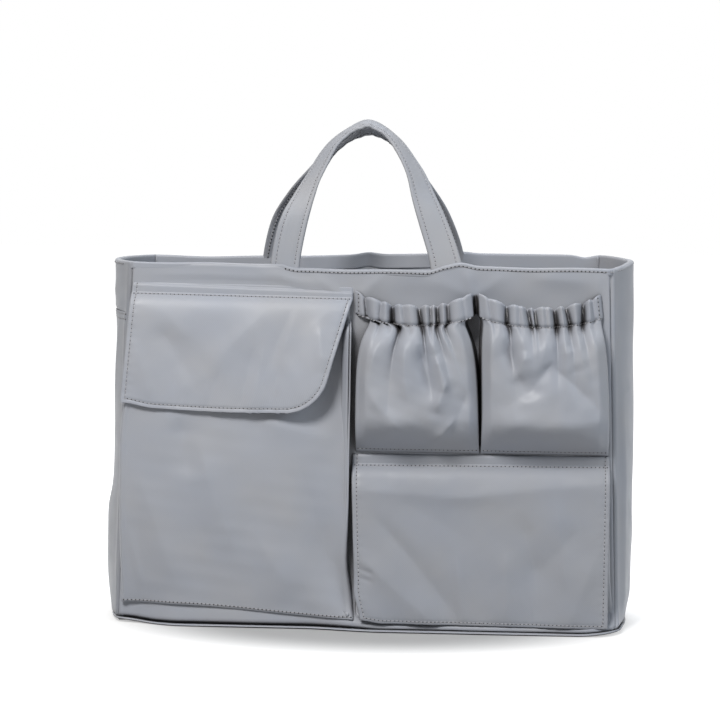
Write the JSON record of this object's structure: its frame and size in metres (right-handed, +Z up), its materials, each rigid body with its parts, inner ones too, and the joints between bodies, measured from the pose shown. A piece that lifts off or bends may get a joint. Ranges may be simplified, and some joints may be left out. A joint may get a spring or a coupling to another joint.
{
  "type": "purse organizer insert",
  "caption": "Soft open-top organizer insert with strap handles, a flapped cargo pocket, gathered bottle pockets, a lower flap pocket and a slip pocket on its side.",
  "frame": {"origin": "centre of the base, on the underside of the bottom panel, midway between the front and back panels", "axes": "+X to the right along the front face, +Y from the front face to the back, +Z up out of the open top"},
  "size_m": [0.3378, 0.1272, 0.316],
  "materials": {
    "shell_nylon": "satin",
    "lining_nylon": "satin",
    "strap_nylon": "satin",
    "interlining_felt": "matte",
    "base_board": "matte",
    "elastic_band": "matte",
    "hook_tape": "matte",
    "loop_tape": "matte"
  },
  "bodies": {
    "shell": {"bottom_panel": "shell_nylon", "front_panel": "shell_nylon", "back_panel": "shell_nylon", "left_gusset": "shell_nylon", "right_gusset": "shell_nylon", "rim_binding": "shell_nylon", "front_interlining": "interlining_felt", "back_interlining": "interlining_felt", "base_board": "base_board", "lining_front": "lining_nylon", "lining_back": "lining_nylon", "lining_left": "lining_nylon", "lining_right": "lining_nylon", "lining_bottom": "lining_nylon", "front_handle_tail_left": "strap_nylon", "front_handle_tail_right": "strap_nylon", "back_handle_tail_left": "strap_nylon", "back_handle_tail_right": "strap_nylon", "left_pocket_front": "shell_nylon", "left_pocket_bellows": "shell_nylon", "left_pocket_loop_tape": "loop_tape", "left_flap_band": "shell_nylon", "lower_pocket_front": "shell_nylon", "lower_pocket_bellows": "shell_nylon", "lower_pocket_loop_tape": "loop_tape", "lower_flap_band": "shell_nylon", "left_bottle_pleat_left": "shell_nylon", "left_bottle_pleat_right": "shell_nylon", "right_bottle_pleat_left": "shell_nylon", "right_bottle_pleat_right": "shell_nylon", "left_side_pocket": "shell_nylon"},
    "front_handle": {"front_handle": "strap_nylon"},
    "back_handle": {"back_handle": "strap_nylon"},
    "left_flap": {"left_flap": "shell_nylon", "left_flap_hook_tape": "hook_tape"},
    "lower_flap": {"lower_flap": "shell_nylon", "lower_flap_hook_tape": "hook_tape"},
    "left_bottle_pocket": {"left_bottle_front": "shell_nylon", "left_bottle_hem": "shell_nylon", "left_bottle_elastic": "elastic_band"},
    "right_bottle_pocket": {"right_bottle_front": "shell_nylon", "right_bottle_hem": "shell_nylon", "right_bottle_elastic": "elastic_band"}
  },
  "joints": [
    {"name": "front_handle_swing", "type": "hinge", "parent": "shell", "child": "front_handle", "pos_m": [0, -0.0524, 0.2263], "axis": [-1, 0, 0], "range_deg": [-130, 0]},
    {"name": "back_handle_swing", "type": "hinge", "parent": "shell", "child": "back_handle", "pos_m": [0, 0.0524, 0.2263], "axis": [1, 0, 0], "range_deg": [-185, 0]},
    {"name": "left_flap_open", "type": "hinge", "parent": "shell", "child": "left_flap", "pos_m": [-0.08, -0.0523, 0.207], "axis": [-1, 0, 0], "range_deg": [0, 125]},
    {"name": "lower_flap_open", "type": "hinge", "parent": "shell", "child": "lower_flap", "pos_m": [0.07, -0.0523, 0.104], "axis": [-1, 0, 0], "range_deg": [0, 85]},
    {"name": "left_bottle_open", "type": "hinge", "parent": "shell", "child": "left_bottle_pocket", "pos_m": [0.0305, -0.0507, 0.1103], "axis": [1, 0, 0], "range_deg": [0, 12], "stiffness_Nm_per_rad": 0.05, "springref_deg": -8.59},
    {"name": "right_bottle_open", "type": "hinge", "parent": "shell", "child": "right_bottle_pocket", "pos_m": [0.108, -0.0507, 0.1103], "axis": [1, 0, 0], "range_deg": [0, 12], "stiffness_Nm_per_rad": 0.05, "springref_deg": -8.59}
  ]
}
